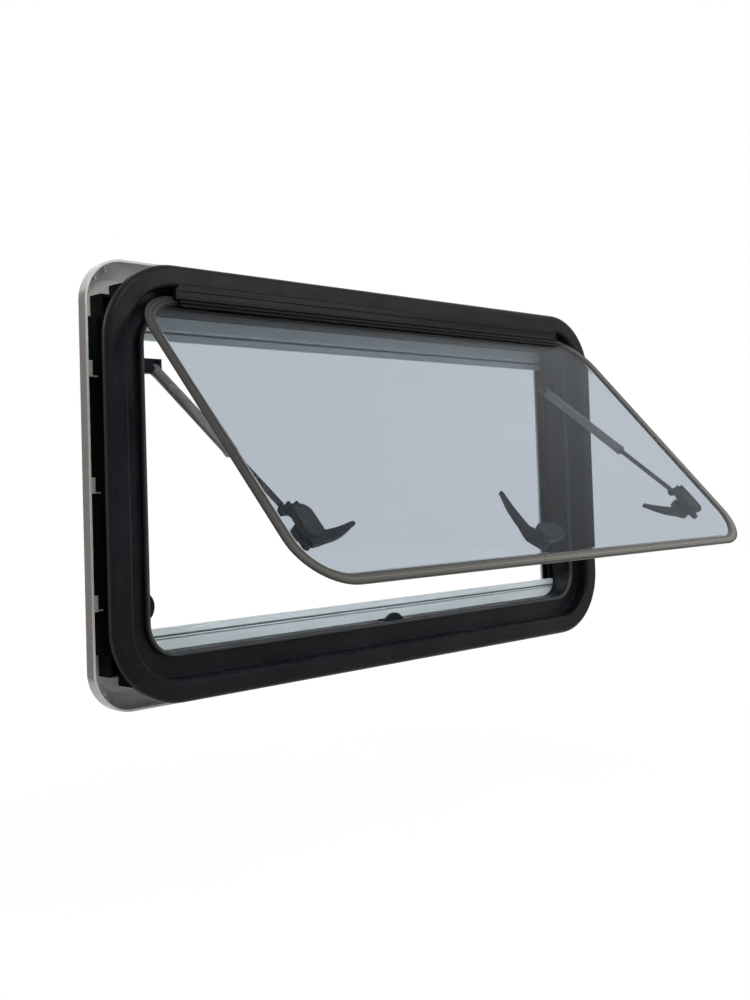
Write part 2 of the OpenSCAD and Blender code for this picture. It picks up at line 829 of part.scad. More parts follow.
module blind_bar_shoes() {
    color(dark) mirror([0, 0, 1]) bar_shoes(blind_y);
}

module blind_web() {
    color(pale) mirror([0, 0, 1]) web(blind_y);
}

outer_frame();
wall_gasket();
pane_seal();
hinge_rail();
hinge_end_caps();
hinge_screws();
keeper_left();
keeper_right();
keeper_bottom();
stay_bracket(-1);  // stay_bracket_left
stay_bracket(1);  // stay_bracket_right
stay_pins();
side_rail(-1);  // side_rail_left
side_rail(1);  // side_rail_right
clamp_screws();
inner_trim();
trim_clips();
screen_cassette();
blind_cassette();
screen_end_caps();
blind_end_caps();
screen_roller();
screen_roll();
screen_spring();
blind_roller();
blind_roll();
blind_spring();
screen_bar();
screen_bar_shoes();
screen_web();
blind_bar();
blind_bar_shoes();
blind_web();
outer_pane();
inner_pane();
hinge_blade();
latch_base("left");  // latch_base_left
latch_base("right");  // latch_base_right
latch_base("middle");  // latch_base_middle
latch_pads();
latch_screws();
latch_lever("left");  // latch_lever_left
latch_lever("right");  // latch_lever_right
latch_lever("middle");  // latch_lever_middle
latch_button("left");  // latch_button_left
latch_button("right");  // latch_button_right
latch_button("middle");  // latch_button_middle
stay_tube(-1);  // stay_tube_left
stay_tube(1);  // stay_tube_right
stay_collar(-1);  // stay_collar_left
stay_collar(1);  // stay_collar_right
stay_rod(-1);  // stay_rod_left
stay_rod(1);  // stay_rod_right
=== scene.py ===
# %% [markdown]
# # A top-hung push-out window
# This is a caravan window. A black frame sits in the wall, and a double sheet of tinted acrylic
# swings out from the hinge along its top, on two telescopic stays and with three turn latches. On
# the room side a white trim frames an insect screen and a blind, which roll up into cassettes.
# The packed CAD model is the frame that everything here is fitted to. Most packed pieces keep
# their shape and get a surface. The two sheets, the pull bars and the cloths have rings, flutes
# and windings that the packed model leaves plain, so they are made here and stand for their
# nodes.

# %% Load the packed model
import json
import math
import bpy
import bmesh
from mathutils import Matrix, Vector


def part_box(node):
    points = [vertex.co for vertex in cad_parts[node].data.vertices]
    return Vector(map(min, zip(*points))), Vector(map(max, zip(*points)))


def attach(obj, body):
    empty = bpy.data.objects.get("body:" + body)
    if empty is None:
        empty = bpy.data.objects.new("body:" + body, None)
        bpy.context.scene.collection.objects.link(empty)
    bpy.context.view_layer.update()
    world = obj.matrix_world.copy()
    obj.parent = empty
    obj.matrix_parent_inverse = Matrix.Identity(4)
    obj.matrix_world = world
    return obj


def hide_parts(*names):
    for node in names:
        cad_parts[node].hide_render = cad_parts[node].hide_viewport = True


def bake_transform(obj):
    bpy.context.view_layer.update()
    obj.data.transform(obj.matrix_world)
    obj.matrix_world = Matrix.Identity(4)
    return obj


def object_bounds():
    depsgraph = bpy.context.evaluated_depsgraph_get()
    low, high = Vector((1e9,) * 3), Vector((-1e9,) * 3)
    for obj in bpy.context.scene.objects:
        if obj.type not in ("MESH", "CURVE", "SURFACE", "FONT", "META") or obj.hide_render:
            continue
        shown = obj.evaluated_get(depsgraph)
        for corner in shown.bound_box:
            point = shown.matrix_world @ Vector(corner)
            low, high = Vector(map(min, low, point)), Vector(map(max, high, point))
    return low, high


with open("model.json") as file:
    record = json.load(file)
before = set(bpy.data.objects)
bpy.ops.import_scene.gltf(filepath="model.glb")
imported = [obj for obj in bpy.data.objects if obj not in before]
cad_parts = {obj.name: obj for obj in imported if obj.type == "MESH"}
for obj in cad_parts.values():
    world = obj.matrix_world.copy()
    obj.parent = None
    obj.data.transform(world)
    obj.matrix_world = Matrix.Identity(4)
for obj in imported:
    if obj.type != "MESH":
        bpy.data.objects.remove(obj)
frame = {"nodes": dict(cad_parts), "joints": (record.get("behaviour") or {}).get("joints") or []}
NODES = frame["nodes"]
scene = bpy.context.scene


def as_lists(corners):
    """Two corners of a box as plain lists of numbers."""
    return [[round(float(x), 6) for x in corner] for corner in corners]


bounds_at_load = as_lists(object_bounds())

# %% [markdown]
# ## Camera
# The open window is seen from the lower left, as a person beside the vehicle sees it. A Track To
# constraint could aim the camera, but it would also fix its roll. Here yaw, pitch and roll make
# three axes, which are the columns of the camera's rotation, so each angle can be read and
# changed by itself.

# %% Camera
yaw, pitch, roll = 0.785739, 0.038183, -0.032715  # in radians
camera_place = (-1.128318, -1.092224, -0.014674)
ahead = Vector((math.sin(yaw) * math.cos(pitch), math.cos(yaw) * math.cos(pitch), math.sin(pitch)))
level = Vector((math.cos(yaw), -math.sin(yaw), 0))
upright = level.cross(ahead)
right = level * math.cos(roll) + upright * math.sin(roll)
up = upright * math.cos(roll) - level * math.sin(roll)
aim = Matrix((right, up, -ahead)).transposed()

camera_data = bpy.data.cameras.new("camera")
camera_data.sensor_width = 36
camera_data.lens = 42.26
camera_data.shift_y = -0.0559
camera_data.clip_start = 0.01
camera_data.clip_end = 50
camera = bpy.data.objects.new("camera", camera_data)
camera.matrix_world = Matrix.Translation(camera_place) @ aim.to_4x4()
scene.collection.objects.link(camera)
scene.camera = camera
print("camera at", tuple(round(x, 3) for x in camera.location))

# %% [markdown]
# ## Node helpers
# Every surface of the window is a node tree, and a tree written out node by node is long. `feed`
# fills one socket with a number or with another node's socket, and `maths` makes a Math node the
# same way. `join_shaders` sends one of two shaders to the output, by a factor.


# %% Node helpers
def feed(nt, socket, value):
    """Links a node's socket to this one, or sets this one's own value."""
    if isinstance(value, bpy.types.NodeSocket):
        nt.links.new(value, socket)
    else:
        socket.default_value = value


def maths(nt, operation, *values):
    """Works out one number from sockets and numbers."""
    n = nt.nodes.new("ShaderNodeMath")
    n.operation = operation
    for socket, value in zip(n.inputs, values):
        feed(nt, socket, value)
    return n.outputs[0]


def join_shaders(nt, factor, first, second, output):
    """Sends the output the first shader where factor is 0, and the second where it is 1."""
    mix = nt.nodes.new("ShaderNodeMixShader")
    for socket, source in zip(mix.inputs, (factor, first, second)):
        nt.links.new(source, socket)
    nt.links.new(mix.outputs[0], nt.nodes[output].inputs["Surface"])


print("helpers:", feed.__name__, maths.__name__, join_shaders.__name__)

# %% [markdown]
# ## Surface
# A finish is more than a colour: it has a grain, slow changes of tone and patches of more or less
# gloss. The methods of `Surface` make one such effect each. Patterns read Object coordinates,
# which stay with the piece when it moves. A value that is the same all over is set on the
# shader's own socket.


# %% Surface
class Surface:
    """A Principled material that is built up effect by effect."""

    def __init__(self, name, color, rough, metallic=0.0, **rest):
        self.mat = bpy.data.materials.new(name)
        self.mat.use_nodes = True
        self.nt = self.mat.node_tree
        self.shader = self.nt.nodes["Principled BSDF"]
        self.shader.inputs["Base Color"].default_value = (*color, 1)
        self.shader.inputs["Roughness"].default_value = rough
        self.shader.inputs["Metallic"].default_value = metallic
        for key, value in rest.items():
            self.shader.inputs[key.replace("_", " ")].default_value = value
        self.coord = self.nt.nodes.new("ShaderNodeTexCoord").outputs["Object"]

    def node(self, kind, **inputs):
        """A node whose inputs are given by name."""
        n = self.nt.nodes.new(kind)
        for key, value in inputs.items():
            feed(self.nt, n.inputs[key.replace("_", " ")], value)
        return n

    def noise(self, size, detail=3, rough=0.55, stretch=(1, 1, 1)):
        """Noise whose lumps are about size metres across, longer where stretch is larger."""
        scaled = self.node("ShaderNodeMapping", Vector=self.coord, Scale=[1 / s for s in stretch])
        return self.node("ShaderNodeTexNoise", Vector=scaled.outputs["Vector"], Scale=1 / size,
                         Detail=detail, Roughness=rough).outputs["Fac"]

    def ramp(self, value, low, high, at=(0.35, 0.65)):
        """A number from low to high, as the value goes over the range at."""
        return self.node("ShaderNodeMapRange", Value=value, From_Min=at[0], From_Max=at[1],
                         To_Min=low, To_Max=high).outputs["Result"]

    def blend(self, value, a, b):
        """A colour from a to b. Each is three numbers or a socket."""
        n = self.nt.nodes.new("ShaderNodeMix")
        n.data_type = "RGBA"
        factor, first, second = n.inputs[0], n.inputs[6], n.inputs[7]
        for socket, color in ((first, a), (second, b)):
            is_socket = isinstance(color, bpy.types.NodeSocket)
            feed(self.nt, socket, color if is_socket else (*color, 1))
        feed(self.nt, factor, value)
        return n.outputs[2]

    def color(self, socket):
        self.nt.links.new(socket, self.shader.inputs["Base Color"])

    def rough(self, socket):
        self.nt.links.new(socket, self.shader.inputs["Roughness"])

    def bump(self, height, strength=0.3, depth=0.0002):
        n = self.node("ShaderNodeBump", Height=height, Strength=strength, Distance=depth)
        self.nt.links.new(n.outputs["Normal"], self.shader.inputs["Normal"])


print("effects:", [name for name in vars(Surface) if not name.startswith("_")])

# %% [markdown]
# ## Moulded plastic
# The frame, latches, trim and most fittings are moulded, and the mould leaves a fine grain. A
# single colour and roughness would look like paper. So one noise shifts the tone over a hand's
# width, a finer one adds specks, and a third makes duller patches, as dust and hands do. The
# darkest pieces get a low gloss, because the white room would else lay a grey sheen over them.

# %% Moulded plastic
TONE_SIZE, SPECK_SIZE, DUST_SIZE = 0.09, 0.006, 0.03


def moulded(name, color, rough, grain=0.0012, shift=0.12, dust=0.06, depth=0.00012, gloss=0.5):
    """Plastic with a grain in metres. shift is how far its tone goes, and dust its roughness."""
    s = Surface(name, color, rough, Specular_IOR_Level=gloss)
    dark = [c * (1 - shift) for c in color]
    light = [min(1, c * (1 + shift) + 0.004) for c in color]
    fleck = [min(1, c * (1 + 2 * shift) + 0.006) for c in color]
    tone = s.ramp(s.noise(TONE_SIZE, 4), 0, 1)
    specks = s.ramp(s.noise(SPECK_SIZE, 2), 0, 1, (0.58, 0.72))
    s.color(s.blend(specks, s.blend(tone, dark, light), fleck))
    s.rough(s.ramp(s.noise(DUST_SIZE, 4), rough - dust, rough + dust))
    s.bump(s.noise(grain, 2), 0.35, depth)
    return s


black_moulding = moulded("black_moulding", (0.0042, 0.005, 0.0063), 0.36, gloss=0.085)
rail_plastic = moulded("rail_plastic", (0.006, 0.0065, 0.0075), 0.4, grain=0.0009, gloss=0.06)
rubber = moulded("rubber", (0.012, 0.012, 0.0125), 0.62, grain=0.0007, shift=0.2, dust=0.08)
latch_plastic = moulded("latch_plastic", (0.018, 0.019, 0.022), 0.42, grain=0.0008, shift=0.1,
                        dust=0.05, depth=0.00004, gloss=0.1)
button_plastic = moulded("button_plastic", (0.055, 0.056, 0.06), 0.3, grain=0.0008)
shoe_plastic = moulded("shoe_plastic", (0.1, 0.1, 0.105), 0.5, grain=0.001)
print("dark plastics:", len(bpy.data.materials))

# %% [markdown]
# ## Pale finishes and paint
# The inner trim and its clips are white plastic, the cassettes and bars are powder coated, and
# the stay tubes are painted. Paint flows out smooth, so these take the same recipe with a finer
# and shallower grain and less change of tone.

# %% Pale finishes and paint
trim_plastic = moulded("trim_plastic", (0.62, 0.615, 0.59), 0.48, grain=0.0011, shift=0.05,
                       gloss=0.3)
clip_plastic = moulded("clip_plastic", (0.5, 0.51, 0.5), 0.45, grain=0.001, shift=0.05)
powder_white = moulded("powder_white", (0.6, 0.63, 0.61), 0.4, grain=0.0006, shift=0.035, dust=0.05,
                       depth=0.00005)
tube_paint = moulded("tube_paint", (0.15, 0.138, 0.13), 0.24, grain=0.0006, shift=0.06, dust=0.04,
                     depth=0.00003)
print("plastics and paints:", len(bpy.data.materials))

# %% [markdown]
# ## Metals
# The hinge is an anodised extrusion, the rollers and rods are drawn, and the screws are plated.
# Drawing leaves lines on the metal. Anisotropy could smear the highlight, but lines in the
# roughness and the bump also show close up. So a fine noise is stretched along X, which is the
# way that the hinge and the rollers lie.

# %% Metals
LINE_SIZE = 0.0016


def metal(name, color, rough, stretch=(1, 1, 1), metallic=1.0, gloss=0.5):
    """Metal whose lines are longer along an axis where stretch is larger."""
    s = Surface(name, color, rough, metallic, Specular_IOR_Level=gloss)
    lines = s.noise(LINE_SIZE, 3, 0.6, stretch)
    dark = [c * 0.88 for c in color]
    light = [min(1, c * 1.1) for c in color]
    s.color(s.blend(s.ramp(s.noise(0.05, 3), 0, 1), dark, light))
    s.rough(s.ramp(lines, rough - 0.07, rough + 0.09))
    s.bump(lines, 0.12, 0.00006)
    return s


along_x = (60, 1, 1)
rail_anodised = metal("rail_anodised", (0.0042, 0.0045, 0.0052), 0.28, along_x, 0.3, 0.1)
tube_aluminium = metal("tube_aluminium", (0.62, 0.63, 0.64), 0.34, along_x)
plated_steel = metal("plated_steel", (0.58, 0.58, 0.57), 0.3)
dark_steel = metal("dark_steel", (0.07, 0.068, 0.066), 0.34, (8, 1, 1), 0.6)
print("with metals:", len(bpy.data.materials))

# %% [markdown]
# ## Handled side of the trim
# The inner trim's outer side is painted browner and darker than its rim and its hollow: painted
# shade, for that side gets less light. A second material could be given to those faces, but a
# packed mesh is never changed. A tone that reads how far out and how far back a point lies does
# the same, and its limits come from the piece's own box.

# %% Painted shade on the side of the trim
SIDE_FADE = (0.0014, 0.0003)  # in from the side, where the tone starts and where it is full
RIM_FADE = (0.0006, 0.0012)  # back from the rim


def painted_side_shade(s, box, color):
    """Paints shade, brown and dark, on the outer sides of a box, and leaves its rim alone."""
    low, high = box
    split = s.node("ShaderNodeSeparateXYZ", Vector=s.coord)
    outward = maths(s.nt, "ABSOLUTE", split.outputs["X"])
    side = s.ramp(outward, 0, 1, [high[0] - inward for inward in SIDE_FADE])
    behind_rim = s.ramp(split.outputs["Y"], 0, 1, [low[1] + back for back in RIM_FADE])
    plain_color = s.shader.inputs["Base Color"].links[0].from_socket
    s.color(s.blend(maths(s.nt, "MULTIPLY", side, behind_rim), plain_color, color))


# painted shade: this brown-grey stands in for the shade on the trim's outer side
painted_side_shade(trim_plastic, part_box("inner_trim"), (0.27, 0.235, 0.215))

# %% [markdown]
# ## Tinted acrylic
# The sash is glazed with grey acrylic. Transmission alone leaves what lies behind it in shadow,
# because lamps can't be sampled through it, so shadow rays meet a Transparent shader instead. The
# index is set well below acrylic's own: the sheets' four faces then reflect less of the white
# room, which would else veil the dark frame behind them. A faint change of roughness stands for
# wiped marks.


# %% Tinted acrylic
def tinted(name, tint):
    s = Surface(name, tint, 0.0, Transmission_Weight=1.0, IOR=1.1)
    clear = s.node("ShaderNodeBsdfTransparent", Color=(*[c ** 0.5 for c in tint], 1))
    shadow_ray = s.nt.nodes.new("ShaderNodeLightPath").outputs["Is Shadow Ray"]
    join_shaders(s.nt, shadow_ray, s.shader.outputs[0], clear.outputs[0], "Material Output")
    wiped = s.noise(0.05, 4, 0.6, (1, 1, 3))
    s.rough(s.ramp(wiped, 0.0, 0.012, (0.5, 0.7)))
    darker = [c * 0.99 for c in tint]
    lighter = [min(1, c * 1.01) for c in tint]
    s.color(s.blend(s.ramp(s.noise(0.4, 2), 0, 1), darker, lighter))
    return s


acrylic = tinted("acrylic", (0.665, 0.7, 0.74))
print("glazing:", acrylic.mat.name)

# %% [markdown]
# ## Painted border and sawn edge
# A painted border hides the bond between the two sheets. It has darker and lighter lines, and the
# lighter ones are in part a painted highlight. As a whole it is darker near the hinge and towards
# the left, which is a painted reflection. Two materials would meet in a step, so one material
# fades along a slope: the dot product of the place and a direction is the height on that slope.
# The sheets' sawn edges are rough and dark.

# %% Painted border and sawn edge
# painted reflection: the border is lighter at the bottom and darker near the hinge and to the left
REFLECTION_SLOPE, FADE = (-0.25, 0, 1), (-0.12, 0.12)


def border_paint_and_reflection(name, top, bottom):
    """Paint with a painted reflection, from the bottom colour to the top one over the sash."""
    s = Surface(name, bottom, 0.3, Specular_IOR_Level=0.12)
    slope = s.nt.nodes.new("ShaderNodeVectorMath")
    slope.operation = "DOT_PRODUCT"
    feed(s.nt, slope.inputs[0], s.coord)
    feed(s.nt, slope.inputs[1], REFLECTION_SLOPE)
    s.color(s.blend(s.ramp(slope.outputs["Value"], 0, 1, FADE), bottom, top))
    s.rough(s.ramp(s.noise(0.03, 4), 0.27, 0.33))
    s.bump(s.noise(0.002, 2), 0.35, 0.00002)
    return s


# painted reflection: each paint goes from its darker top colour to its lighter bottom one
seam_grey_and_reflection = border_paint_and_reflection("seam_grey_and_reflection", (0.028, 0.027, 0.024), (0.128, 0.123, 0.106))
# in part painted highlight: this paint makes the border's lighter lines
seam_highlight_line = border_paint_and_reflection("seam_highlight_line", (0.085, 0.082, 0.073), (0.25, 0.243, 0.218))
seam_dark = moulded("seam_dark", (0.04, 0.04, 0.038), 0.3, grain=0.002, shift=0.05, dust=0.03,
                    depth=0.00002, gloss=0.12)
sawn_edge = moulded("sawn_edge", (0.035, 0.034, 0.03), 0.4, grain=0.0007, shift=0.2, dust=0.08,
                    gloss=0.2)
SHEET_FINISHES = [acrylic, seam_grey_and_reflection, seam_dark, sawn_edge, seam_highlight_line]
CLEAR, GREY, DARK, SAWN, HIGHLIGHT_LINE = range(5)
print("sheet finishes:", [s.mat.name for s in SHEET_FINISHES])

# %% [markdown]
# ## The sash's own frame
# The sheets are easiest to make upright, in the closed position, and then turned open with the
# hinge. The hinge's place and its range come from the packed joint, so the sheets land where the
# packed panes are. The panes' corners, turned back by the same matrix, give the sheets' sizes.

# %% The sash's own frame
hinge = next(j for j in frame["joints"] if j["name"] == "sash_hinge")
open_angle = math.radians(-hinge["range_deg"][0])
sash_place = Matrix.Translation(hinge["pos_m"]) @ Matrix.Rotation(-open_angle, 4, "X")
turn_closed = sash_place.inverted()


def closed_box(node):
    """A sash node's box with the sash turned closed."""
    points = [turn_closed @ v.co for v in NODES[node].data.vertices]
    return [Vector(map(f, zip(*points))) for f in (min, max)]


print("sash open by", round(math.degrees(open_angle), 1), "degrees")

# %% [markdown]
# ## Flat stock
# Both sheets are cut from flat stock, with round corners and small arrises. A bevelled curve
# could give the outline, but a face keeps its insets and its finishes. So a bevel on the vertices
# of one face rounds the corners, an extrusion gives the depth, and a bevel on the sharp edges
# softens them.

# %% Flat stock
CORNER_SEGMENTS = 16


def rounded_face(low, high, radius, depth):
    """One upright face in X and Z with round corners, at a depth along Y."""
    bm = bmesh.new()
    upright_grid = Matrix.Rotation(math.pi / 2, 4, "X")
    bmesh.ops.create_grid(bm, x_segments=1, y_segments=1, size=0.5, matrix=upright_grid)
    bmesh.ops.scale(bm, vec=(high.x - low.x, 1, high.z - low.z), verts=bm.verts)
    middle = (low + high) / 2
    bmesh.ops.translate(bm, vec=(middle.x, depth, middle.z), verts=bm.verts)
    bmesh.ops.bevel(bm, geom=bm.verts[:], offset=radius, segments=CORNER_SEGMENTS, profile=0.5,
                    affect="VERTICES", material=-1)
    return bm


def widest_face(bm):
    return max(bm.faces, key=lambda f: f.calc_area())


def thicken(bm, depth):
    """Gives every face the same depth along Y."""
    made = bmesh.ops.extrude_face_region(bm, geom=bm.faces[:])
    moved = [v for v in made["geom"] if isinstance(v, bmesh.types.BMVert)]
    bmesh.ops.translate(bm, vec=(0, depth, 0), verts=moved)
    bmesh.ops.recalc_face_normals(bm, faces=bm.faces)


def soften(bm, width, least=1.2):
    """Rounds the edges that are sharper than least, in radians."""
    sharp = [e for e in bm.edges if len(e.link_faces) == 2 and e.calc_face_angle() > least]
    bmesh.ops.bevel(bm, geom=sharp, offset=width, segments=3, profile=0.5, affect="EDGES",
                    material=-1)


print("steps at a corner:", CORNER_SEGMENTS)

# %% [markdown]
# ## From mesh to piece
# A finished piece sits at the origin, unturned, with its place in its mesh, as packed nodes do,
# so that patterns and poses stay right. A sheet also rides on the sash and stands for its packed
# pane. Its flat faces stay flat shaded, because smoothed normals would bend the view like a lens.

# %% From mesh to piece
FLAT = 0.999  # how square to Y a face's normal is when it belongs to the flat of a sheet


def new_object(name, bm, surfaces, place=Matrix.Identity(4)):
    """Makes a bmesh an object at the origin, with its place in its mesh."""
    bmesh.ops.transform(bm, matrix=place, verts=bm.verts)
    mesh = bpy.data.meshes.new(name)
    bm.to_mesh(mesh)
    bm.free()
    for s in surfaces:
        mesh.materials.append(s.mat)
    obj = bpy.data.objects.new(name, mesh)
    scene.collection.objects.link(obj)
    return obj


def glaze(name, bm, node):
    """Shades a sheet, puts it on the sash and lets it stand for its node."""
    for f in bm.faces:
        f.smooth = abs(f.normal.y) < FLAT
    sheet = new_object(name, bm, SHEET_FINISHES, sash_place)
    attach(sheet, "sash")
    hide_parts(node)
    return sheet


print("a sheet's slots:", len(SHEET_FINISHES))

# %% [markdown]
# ## Outer sheet
# The outer sheet is flat, with round corners, a sawn edge and the painted border. The border
# could be a pattern in the material, but insets of the front face follow the corners by
# themselves and stay crisp close up. Each ring keeps its finish when the face inside it is inset
# again.

# %% Outer sheet
SASH_RADIUS = 0.062
OUTER_ARRIS = 0.0006
BOND_GAP = 0.00004  # keeps the bonded faces of the two sheets apart
SIDEWAYS = 0.5  # a face is part of the sawn edge when its normal is less square to Y than this
# the lighter rings are in part a painted highlight
RINGS = ((DARK, 0.0018), (GREY, 0.0034), (HIGHLIGHT_LINE, 0.0008), (GREY, 0.0036), (DARK, 0.0014),
         (HIGHLIGHT_LINE, 0.0005))
low, high = closed_box("outer_pane")

bm = rounded_face(low, high, SASH_RADIUS, low.y)
for finish, width in RINGS:
    pane = widest_face(bm)
    pane.material_index = finish
    bmesh.ops.inset_region(bm, faces=[pane], thickness=width, use_boundary=True,
                           use_even_offset=True)
widest_face(bm).material_index = CLEAR
thicken(bm, high.y - low.y - BOND_GAP)
for f in bm.faces:
    if abs(f.normal.y) < SIDEWAYS:
        f.material_index = SAWN
soften(bm, OUTER_ARRIS)
outer_sheet = glaze("outer_sheet", bm, "outer_pane")
print("outer sheet:", [round(1000 * x, 1) for x in high - low], "mm,",
      len(outer_sheet.data.polygons), "faces")

# %% [markdown]
# ## Inner sheet
# The inner sheet is pressed into a shallow tray: its border is bonded to the outer sheet, and its
# middle stands off by an air gap. A displaced grid could make that step, but it would need many
# faces and ripple the flat pane. Narrow insets, each a little deeper along a cosine, make a
# smooth shoulder and leave the pane one flat face.

# %% Inner sheet
GAUGE = 0.002
BOND_WIDTH = 0.0088
INNER_ARRIS = 0.0004
SHOULDER_WIDTH, SHOULDER_STEPS = 0.0045, 6
tray_low, tray_high = closed_box("inner_pane")
rise = tray_high.y - tray_low.y - GAUGE - BOND_GAP

bm = rounded_face(tray_low, tray_high, SASH_RADIUS - (tray_low.x - low.x), tray_low.y + BOND_GAP)
bmesh.ops.inset_region(bm, faces=bm.faces[:], thickness=BOND_WIDTH, use_boundary=True,
                       use_even_offset=True)
pane = widest_face(bm)
for i in range(SHOULDER_STEPS):
    bmesh.ops.inset_region(bm, faces=[pane], thickness=SHOULDER_WIDTH / SHOULDER_STEPS,
                           use_even_offset=True)
    pane = widest_face(bm)
    before, after = (math.cos(math.pi * k / SHOULDER_STEPS) for k in (i, i + 1))
    bmesh.ops.translate(bm, vec=(0, 0.5 * rise * (before - after), 0), verts=pane.verts[:])
thicken(bm, GAUGE)
border_top = tray_low.y + GAUGE + 0.0001
for f in bm.faces:
    # the border's faces are four-sided and lie low, and the pane has many sides and lies high
    low_strip = len(f.verts) == 4 and f.calc_center_median().y < border_top
    if abs(f.normal.y) < SIDEWAYS:
        f.material_index = SAWN
    elif low_strip and abs(f.normal.y) > FLAT:
        f.material_index = GREY
soften(bm, INNER_ARRIS)
inner_sheet = glaze("inner_sheet", bm, "inner_pane")
print("inner sheet: tray", round(1000 * rise, 2), "mm deep,",
      len(inner_sheet.data.polygons), "faces")

# %% [markdown]
# ## Insect mesh
# The screen is woven of fine dark threads, 1.2 mm apart. As geometry they would be far too many
# faces, so the cloth is one sheet whose alpha is open between the threads. Ping-pong folds a
# coordinate into a zigzag, which a ramp turns into one thread per fold, and the larger of two
# directions is the weave.


# %% Insect mesh
def insect_mesh(half_spacing=0.0006):
    s = Surface("insect_mesh", (0.035, 0.035, 0.038), 0.7)
    place = s.node("ShaderNodeSeparateXYZ", Vector=s.coord)
    folds = [maths(s.nt, "PINGPONG", place.outputs[axis], half_spacing) for axis in ("X", "Z")]
    threads = maths(s.nt, "MAXIMUM", *[s.ramp(fold, 1, 0, (0.0001, 0.0003)) for fold in folds])
    s.nt.links.new(threads, s.shader.inputs["Alpha"])
    s.bump(threads, 0.4, 0.0002)
    return s


screen_finish = insect_mesh()
print("screen:", screen_finish.mat.name)

# %% [markdown]
# ## Blackout cloth
# The blind is a close pale weave with a matt coat. It lets nothing through, so here the threads
# only go into the bump: two crossed waves, multiplied, stand up where the threads cross.


# %% Blackout cloth
def blackout_cloth(threads=700):
    s = Surface("blackout_cloth", (0.6, 0.61, 0.6), 0.75)
    waves = []
    for axis in ("X", "Z"):
        wave = s.node("ShaderNodeTexWave", Vector=s.coord, Scale=threads, Distortion=0.6)
        wave.bands_direction = axis
        waves.append(wave.outputs["Fac"])
    s.color(s.blend(s.ramp(s.noise(0.12, 3), 0, 1), (0.585, 0.595, 0.585), (0.615, 0.625, 0.615)))
    s.rough(s.ramp(s.noise(0.004, 2), 0.7, 0.85))
    s.bump(maths(s.nt, "MULTIPLY", *waves), 0.4, 0.00015)
    return s


blind_finish = blackout_cloth()
print("blind:", blind_finish.mat.name)

# %% [markdown]
# ## Screen and blind
# Each cloth runs from its pull bar into its cassette and round its roller. Spring rollers hold it
# taut, so it doesn't sag, and a simulation would add nothing. One edge of a grid is drawn on step
# by step: straight up to the roller's height, over to its rim, and then round the axle in turns
# that shrink by one layer each. The sum of the steps is the length that the cloth is cut to.

# %% One wound cloth
LAYER = 0.00014  # cloth and the slack between two turns
CLOTH = 0.0001
TURNS, STEPS_PER_TURN, FLAT_STEPS = 10, 40, 6


def wound_cloth(name, side, finish):
    """One sheet from its bar to its roller. side is 1 where the cassette is above, -1 below."""
    bar_low, bar_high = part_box(name + "_bar")
    roll_low, roll_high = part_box(name + "_roll")
    web_low, web_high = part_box(name + "_web")
    axle = Vector((0, (roll_low[1] + roll_high[1]) / 2, (roll_low[2] + roll_high[2]) / 2))
    rim = (roll_high[1] - roll_low[1]) / 2
    width = web_high[0] - web_low[0]
    face_y = (web_low[1] + web_high[1]) / 2
    bar_z = bar_high[2] if side > 0 else bar_low[2]
    roll_edge_z = roll_low[2] if side > 0 else roll_high[2]
    front = 1 if face_y > axle.y else -1  # the side of the axle that the cloth comes from

    bm = bmesh.new()
    bmesh.ops.create_grid(bm, x_segments=8, y_segments=1, size=0.5)
    bmesh.ops.delete(bm, geom=[v for v in bm.verts if v.co.y > 0], context="VERTS")
    bmesh.ops.scale(bm, vec=(width, 0, 0), verts=bm.verts)
    bmesh.ops.translate(bm, vec=(0, face_y, bar_z), verts=bm.verts)
    edge = bm.edges[:]
    length = 0.0

    def draw_on(matrix):
        """Extrudes the free edge, moves it by a matrix and adds the step to the length."""
        nonlocal edge, length
        made = bmesh.ops.extrude_edge_only(bm, edges=edge)["geom"]
        edge = [g for g in made if isinstance(g, bmesh.types.BMEdge)]
        verts = [g for g in made if isinstance(g, bmesh.types.BMVert)]
        before = verts[0].co.copy()
        bmesh.ops.transform(bm, matrix=matrix, verts=verts)
        length += (verts[0].co - before).length

    for i in range(FLAT_STEPS):
        draw_on(Matrix.Translation((0, 0, (axle.z - bar_z) / FLAT_STEPS)))
    draw_on(Matrix.Translation((0, axle.y + front * rim - face_y, 0)))
    turn = Matrix.Rotation(front * side * 2 * math.pi / STEPS_PER_TURN, 4, "X")
    for i in range(TURNS * STEPS_PER_TURN):
        radius = rim - LAYER * i / STEPS_PER_TURN
        shrink = (radius - LAYER / STEPS_PER_TURN) / radius
        about_axle = Matrix.Translation(axle) @ turn @ Matrix.Diagonal((1, shrink, shrink, 1))
        draw_on(about_axle @ Matrix.Translation(-axle))
    bmesh.ops.solidify(bm, geom=bm.faces[:], thickness=CLOTH)
    for f in bm.faces:
        f.smooth = True
    piece = new_object(name + "_cloth", bm, [finish])
    return piece, (width, length), (0, face_y, roll_edge_z), (0, face_y, bar_z)


print("turns on each roller:", TURNS)

# %% [markdown]
# Each cloth stands for its packed web and roll, which are hidden, and the length that it is cut
# to is printed.

# %% Screen and blind
for name, side, finish, slot in (("screen", 1, screen_finish, "screen_mesh"),
                                 ("blind", -1, blind_finish, "blind_cloth")):
    piece, flat, start, end = wound_cloth(name, side, finish)
    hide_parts(name + "_web", name + "_roll")
    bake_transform(piece)
    print(piece.name, "cut to", [round(1000 * x, 1) for x in flat], "mm")

# %% [markdown]
# ## Pull bars
# Each bar is drawn aluminium: a wide and a narrow flute along its outer face, and a groove for
# the fingers on the room side. A profile could be drawn point by point and extruded. Here planes
# cut the packed bar's box into strips, and an inset with a depth sinks each one, which closes its
# ends as well. The wide flute's floor is painted a dark grey, as painted shade in that recess.

